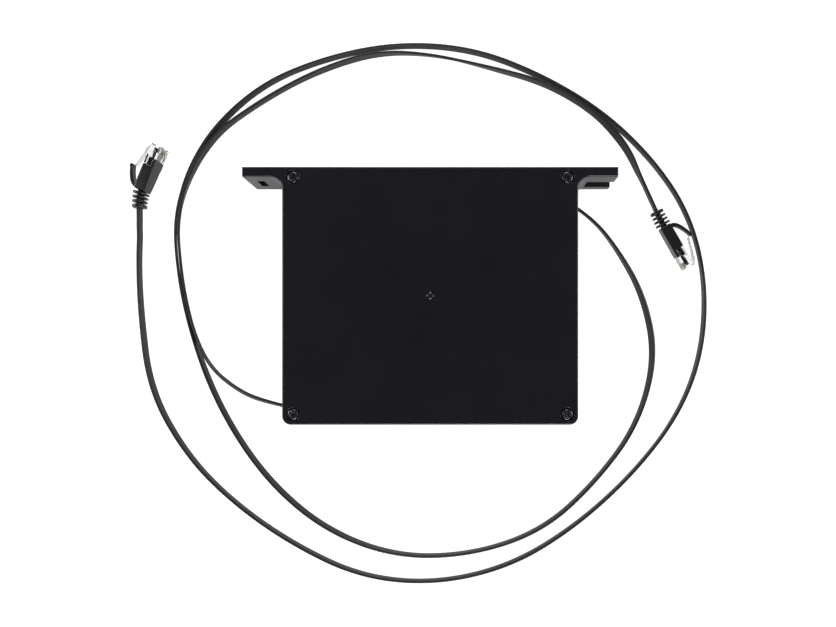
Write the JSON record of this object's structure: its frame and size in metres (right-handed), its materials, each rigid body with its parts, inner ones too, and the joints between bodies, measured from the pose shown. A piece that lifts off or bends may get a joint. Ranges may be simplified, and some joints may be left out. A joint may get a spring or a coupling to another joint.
{
  "type": "network cable retractor",
  "caption": "Flat black spring-return reel for a flat network lead, with a mounting flange, a slotted fixing point and a lead pulled out in loops to a snagless plug at each end.",
  "frame": {"origin": "middle of the housing's back face, on the surface it lies on", "axes": "+Z out of the front cover along the reel's axle, +Y towards the mounting flange, +X towards the open notch end of the flange"},
  "size_m": [0.381, 0.3577, 0.0314],
  "materials": {
    "housing": "satin black moulded ABS",
    "cover": "satin black moulded ABS, finely textured",
    "screw": "black zinc",
    "inner_plastic": "grey acetal",
    "steel": "plain",
    "spring_steel": "blued",
    "lead_jacket": "satin black PVC",
    "boot": "moulded black PVC",
    "plug_clear": "clear polycarbonate",
    "gold": "gold plated",
    "cores": "PVC cores and dark jacket end"
  },
  "bodies": {
    "root": {"rear_housing": "housing", "front_cover": "cover", "cover_screws": "screw", "centre_screw": "screw", "right_exit_bush": "housing", "left_exit_bush": "housing", "axle_post": "steel", "lower_washer": "steel", "upper_washer": "steel", "retaining_clip": "spring_steel", "pawl_pin": "steel", "pawl_spring": "spring_steel", "right_roller_pin": "steel", "left_roller_pin": "steel", "long_lead": "lead_jacket", "short_lead": "lead_jacket", "left_plug_body": "plug_clear", "left_contacts": "gold", "left_wires": "cores", "left_boot": "boot", "right_plug_body": "plug_clear", "right_contacts": "gold", "right_wires": "cores", "right_boot": "boot"},
    "reel": {"spool_core": "inner_plastic", "middle_flange": "inner_plastic", "upper_flange": "inner_plastic", "wound_long_lead": "lead_jacket", "coiled_short_lead": "lead_jacket", "mainspring": "spring_steel", "ratchet_ring": "inner_plastic"},
    "pawl": {"pawl": "inner_plastic"},
    "right_roller": {"right_roller": "inner_plastic"},
    "left_roller": {"left_roller": "inner_plastic"},
    "left_latch": {"left_latch": "plug_clear"},
    "right_latch": {"right_latch": "plug_clear"},
    "left_guard": {"left_guard": "boot"},
    "right_guard": {"right_guard": "boot"}
  },
  "joints": [
    {"name": "reel_turn", "type": "hinge", "parent": "root", "child": "reel", "pos_m": [0, 0, 0.012], "axis": [0, 0, 1], "range_deg": [-720, 1800]},
    {"name": "pawl_swing", "type": "hinge", "parent": "root", "child": "pawl", "pos_m": [0.0315, -0.009, 0.0064], "axis": [0, 0, 1], "range_deg": [0, 10], "stiffness_Nm_per_rad": 0.004},
    {"name": "right_roller_turn", "type": "hinge", "parent": "root", "child": "right_roller", "pos_m": [0.08, 0.0615, 0.015], "axis": [0, 0, 1], "continuous": true},
    {"name": "left_roller_turn", "type": "hinge", "parent": "root", "child": "left_roller", "pos_m": [-0.08, -0.0615, 0.015], "axis": [0, 0, 1], "continuous": true},
    {"name": "left_guard_press", "type": "hinge", "parent": "root", "child": "left_guard", "pos_m": [-0.1944, 0.07415, 0.00655], "axis": [0.0321, -0.0136, 0.9994], "range_deg": [-14.5, 0], "stiffness_Nm_per_rad": 0.004},
    {"name": "left_latch_press", "type": "hinge", "parent": "root", "child": "left_latch", "pos_m": [-0.18263, 0.10109, 0.00654], "axis": [0.0321, -0.0136, 0.9994], "range_deg": [0, 10.2]},
    {"name": "right_guard_press", "type": "hinge", "parent": "root", "child": "right_guard", "pos_m": [0.15689, 0.04904, 0.00731], "axis": [-0.1355, -0.0782, 0.9877], "range_deg": [-14.5, 0], "stiffness_Nm_per_rad": 0.004},
    {"name": "right_latch_press", "type": "hinge", "parent": "root", "child": "right_latch", "pos_m": [0.17134, 0.02343, 0.00726], "axis": [-0.1355, -0.0782, 0.9877], "range_deg": [0, 10.2]}
  ],
  "couplings": [
    {"joint": "left_latch_press", "follows": "left_guard_press", "ratio": -0.69},
    {"joint": "right_latch_press", "follows": "right_guard_press", "ratio": -0.69}
  ]
}
